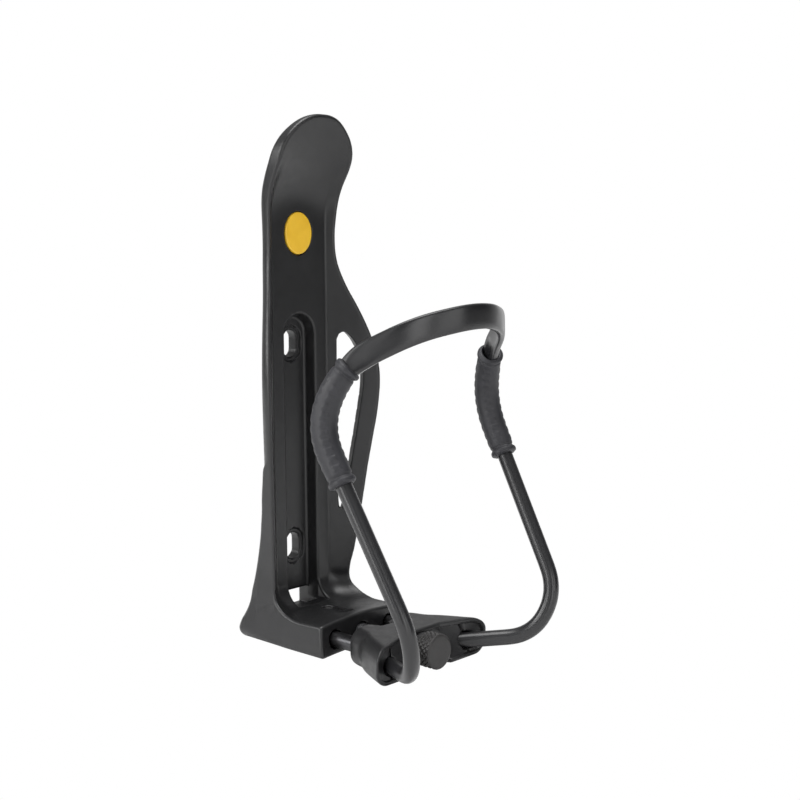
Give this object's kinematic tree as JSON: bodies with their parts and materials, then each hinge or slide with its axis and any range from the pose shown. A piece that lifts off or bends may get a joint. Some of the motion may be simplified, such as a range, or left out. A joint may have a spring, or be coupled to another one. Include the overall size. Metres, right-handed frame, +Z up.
{
  "type": "bicycle bottle cage",
  "caption": "Bicycle bottle cage: moulded back plate with a foot and a spoon-shaped top, and a bent tube loop on a slider that a thumbscrew draws in and out to suit the bottle.",
  "frame": {"origin": "midway between the two frame bolt slots, on the rear mounting face", "axes": "+Y is the mounting face's outward normal, towards the bicycle frame; +Z runs up along the bottle; +X is the cage's left-right direction"},
  "size_m": [0.0778, 0.0838, 0.1606],
  "materials": {
    "plate_nylon": "satin black glass-filled nylon",
    "slider_nylon": "satin black glass-filled nylon",
    "badge_plastic": "yellow inlay",
    "insert_steel": "turned, black oxide",
    "post_steel": "black oxide",
    "tube_anodised": "black anodised, semi-gloss",
    "sleeve_rubber": "moulded, satin",
    "knob_plastic": "knurled",
    "screw_steel": "black oxide",
    "clip_steel": "spring steel",
    "washer_plastic": "satin"
  },
  "bodies": {
    "frame_side": {"back_plate": "plate_nylon", "badge": "badge_plastic", "threaded_insert": "insert_steel"},
    "slider": {"slider_block": "slider_nylon", "guide_post_left": "post_steel", "guide_post_right": "post_steel", "cage_tube": "tube_anodised", "grip_sleeve_left": "sleeve_rubber", "grip_sleeve_right": "sleeve_rubber"},
    "adjuster": {"adjuster_knob": "knob_plastic", "adjuster_screw": "screw_steel", "retaining_clip": "clip_steel", "knob_washer": "washer_plastic"}
  },
  "joints": [
    {"name": "slider_slide", "type": "slide", "parent": "frame_side", "child": "slider", "axis": [0, -1, 0], "range_m": [-0.0045, 0.008]},
    {"name": "knob_turn", "type": "hinge", "parent": "slider", "child": "adjuster", "pos_m": [0, -0.0625, -0.054], "axis": [0, -1, 0], "range_deg": [-2026, 3601]}
  ],
  "couplings": [
    {"joint": "knob_turn", "follows": "slider_slide", "rad_per_m": 7854}
  ]
}
